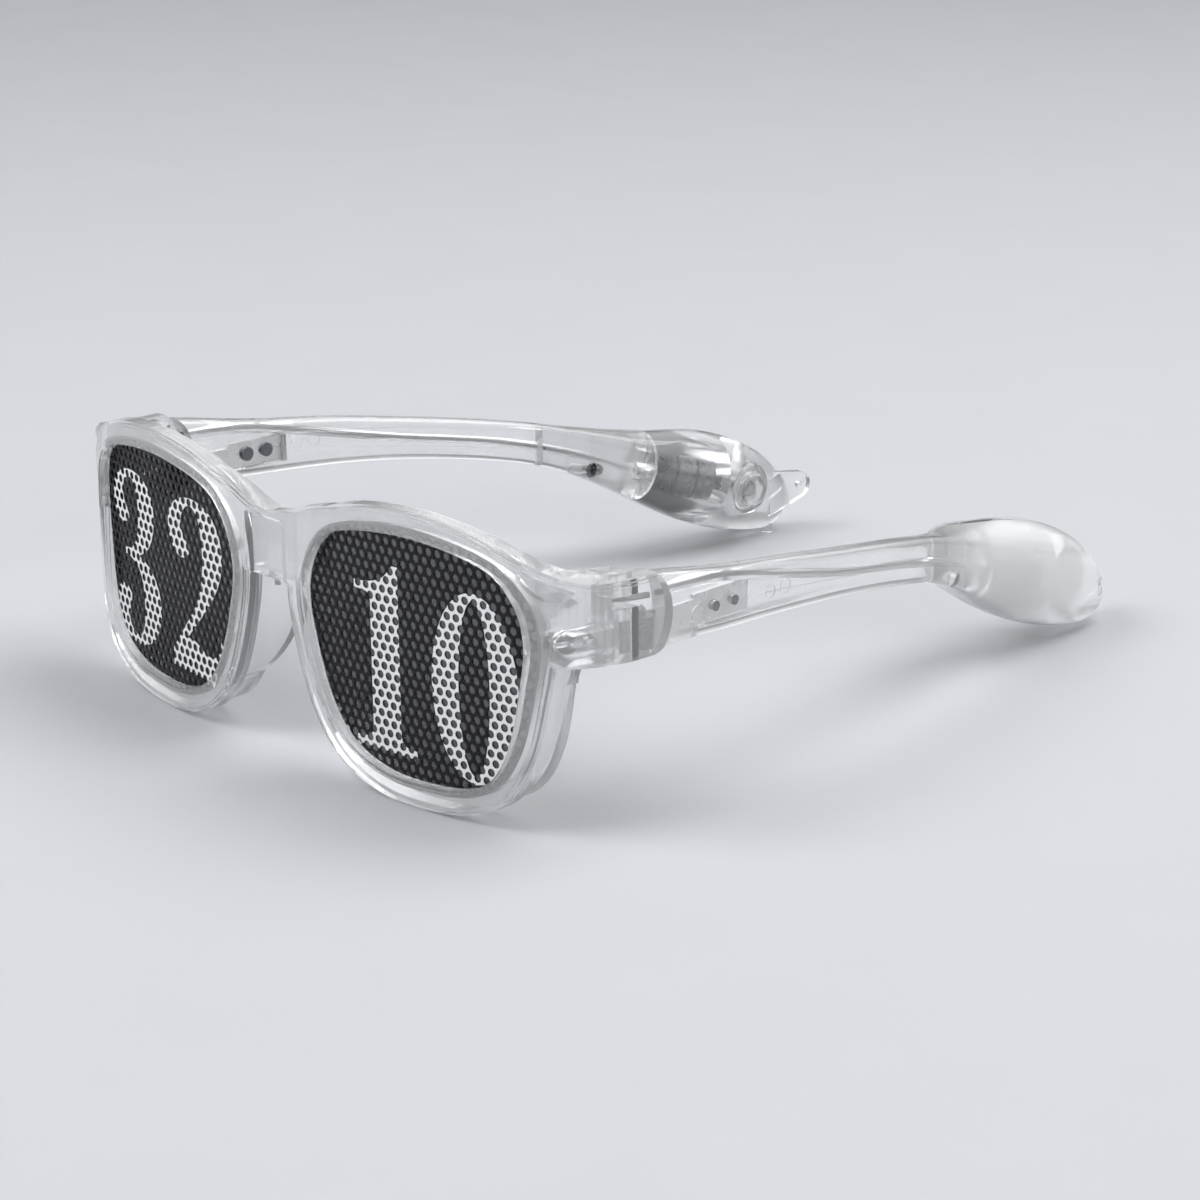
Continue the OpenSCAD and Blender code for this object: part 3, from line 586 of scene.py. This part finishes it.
class SUNGLASSES_OT_mouldings(bpy.types.Operator):
    """Smooths the skins of the clear mouldings"""
    bl_idname = "sunglasses.mouldings"
    bl_label = "Smooth mouldings"

    def execute(self, context):
        smooth_copy("front_frame", "smooth_front", "front")
        smooth_copy("rear_frame", "smooth_rear", "front")
        for side in ("left", "right"):
            body = side + "_temple"
            smooth_copy("temple_" + side, "smooth_temple_" + side, body)
            smooth_copy("battery_cover_" + side, "smooth_cover_" + side, body)
        return {"FINISHED"}


class SUNGLASSES_OT_boards(bpy.types.Operator):
    """Stands the back of each board just clear of the plastic behind it"""
    bl_idname = "sunglasses.boards"
    bl_label = "Boards"

    def execute(self, context):
        board = material("board_laminate", (0.62, 0.63, 0.62), 0.45)
        add_noise(board, 600, 4, 0.35, 0.55)
        for name in ("left", "right"):
            piece = node_copy("driver_board_" + name, "board_" + name)
            edge = max(abs(v.co.x) for v in piece.data.vertices)
            for vertex in piece.data.vertices:
                if abs(vertex.co.x) > edge - BACK_REACH:
                    vertex.co.x -= math.copysign(BOARD_GAP, vertex.co.x)
            cover(piece, board)
            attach(piece, name + "_temple")
            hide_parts("driver_board_" + name)
        return {"FINISHED"}


class SUNGLASSES_OT_metal(bpy.types.Operator):
    """Gives the hinges, screws, cells, contacts and wires their finishes, with painted shade on
    the hinge knuckles
    """
    bl_idname = "sunglasses.metal"
    bl_label = "Metal and wires"

    def execute(self, context):
        hinge = material("hinge_steel", (0.60, 0.60, 0.61), 0.3, metallic=1.0)
        add_noise(hinge, 900, 5, 0.22, 0.45)
        add_bump(hinge, 1500, 4, 0.00002, 0.5, (1, 6, 1))
        # Painted shade: the knuckles' colour is darkened to stand in for the shadow they lie in,
        # and lightens towards the leaf
        add_change(hinge, "Base Color", (KNUCKLE_END, LEAF_START), (0.05, 0.66))
        dress(hinge, "front_hinge", "temple_hinge")
        screw = material("screw_steel", (0.16, 0.16, 0.17), 0.28, metallic=1.0)
        add_noise(screw, 1200, 4, 0.2, 0.4)
        dress(screw, "hinge_screw", "hinge_rivets", "cover_screw")
        cell = material("cell_steel", (0.16, 0.16, 0.165), 0.25, metallic=1.0)
        add_noise(cell, 500, 4, 0.18, 0.34)
        add_bump(cell, 800, 3, 0.00001, 0.4)
        dress(cell, "button_cells")
        nickel = material("contact_nickel", (0.66, 0.66, 0.65), 0.3, metallic=1.0)
        add_noise(nickel, 700, 4, 0.22, 0.4)
        dress(nickel, "contact_plate", "contact_spring")
        wire = material("wire_insulation", (0.006, 0.006, 0.006), 0.4)
        add_noise(wire, 500, 3, 0.3, 0.5)
        dress(wire, "front_wire", "temple_wire")
        return {"FINISHED"}


class SUNGLASSES_OT_films(bpy.types.Operator):
    """Makes the perforated film of each lens with its two printed figures"""
    bl_idname = "sunglasses.films"
    bl_label = "Perforated films"

    def execute(self, context):
        values = context.scene.sunglasses_film
        black = material("film_black", values.film_color, 0.42)
        black.node_tree.nodes["Principled BSDF"].inputs["Specular IOR Level"].default_value = 0.2
        add_noise(black, 700, 4, 0.3, 0.48)
        add_bump(black, 2500, 2, 0.00001, 0.3)
        white = material("film_print", values.ink_color, 0.5)
        add_noise(white, 900, 4, 0.42, 0.6)
        add_bump(white, 3000, 2, 0.00001, 0.3)
        pitch, radius = values.hole_pitch * PER_METRE, values.hole_diameter * PER_METRE / 2
        thick, ink_thick = values.film_thickness * PER_METRE, values.ink_thickness * PER_METRE
        row = pitch * math.sqrt(0.75)
        for name, side in (("left", 1), ("right", -1)):
            start = Vector((side * LENS_X - MIDDLE_HOLE * pitch, MIDDLE_Z - MIDDLE_ROW * row))
            film = hole_sheet("perforated_film_" + name, start, pitch, radius, FILM_DEPTH, thick)
            keep_inside(film, flat_solid("opening", [lens_outline(FILM_REACH, side)],
                                         CUTTER_DEPTH, CUTTER_THICKNESS))
            ink = hole_sheet("printed_figures_" + name, start, pitch, radius,
                             FILM_DEPTH - ink_thick, ink_thick)
            loops = []
            for figure, x, z in PRINTS[name]:
                corner = Vector((x, z))
                for runs in FIGURES[figure]:
                    loops.append([corner + Vector(p) for run in runs
                                  for p in smooth_run(run, FIGURE_STEPS)])
            keep_inside(ink, flat_solid("figures", loops, CUTTER_DEPTH, CUTTER_THICKNESS))
            for piece, made in ((film, black), (ink, white)):
                cover(piece, made)
                bend_to_front(piece)
                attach(piece, "front")
            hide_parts("film_" + name)
        return {"FINISHED"}


class SUNGLASSES_PT_panel(bpy.types.Panel):
    bl_label = "Sunglasses"
    bl_idname = "SUNGLASSES_PT_panel"
    bl_space_type = "VIEW_3D"
    bl_region_type = "UI"
    bl_category = "Sunglasses"

    def draw(self, context):
        for made in OPERATORS:
            self.layout.operator(made.bl_idname)
        for values in (context.scene.sunglasses_film, context.scene.sunglasses_plastic,
                       context.scene.sunglasses_stage):
            for name in values.__annotations__:
                self.layout.prop(values, name)


OPERATORS = [SUNGLASSES_OT_camera, SUNGLASSES_OT_stage, SUNGLASSES_OT_plastic,
             SUNGLASSES_OT_mouldings, SUNGLASSES_OT_metal, SUNGLASSES_OT_boards,
             SUNGLASSES_OT_films]
CLASSES = [FilmSettings, PlasticSettings, StageSettings] + OPERATORS + [SUNGLASSES_PT_panel]


def register():
    for made in CLASSES:
        bpy.utils.register_class(made)
    bpy.types.Scene.sunglasses_film = PointerProperty(type=FilmSettings)
    bpy.types.Scene.sunglasses_plastic = PointerProperty(type=PlasticSettings)
    bpy.types.Scene.sunglasses_stage = PointerProperty(type=StageSettings)


def unregister():
    del bpy.types.Scene.sunglasses_film
    del bpy.types.Scene.sunglasses_plastic
    del bpy.types.Scene.sunglasses_stage
    for made in reversed(CLASSES):
        bpy.utils.unregister_class(made)


def main():
    register()
    bpy.ops.sunglasses.camera()
    bpy.ops.sunglasses.stage()
    bpy.ops.sunglasses.plastic()
    bpy.ops.sunglasses.mouldings()
    bpy.ops.sunglasses.metal()
    bpy.ops.sunglasses.boards()
    bpy.ops.sunglasses.films()


if __name__ == "__main__":
    main()
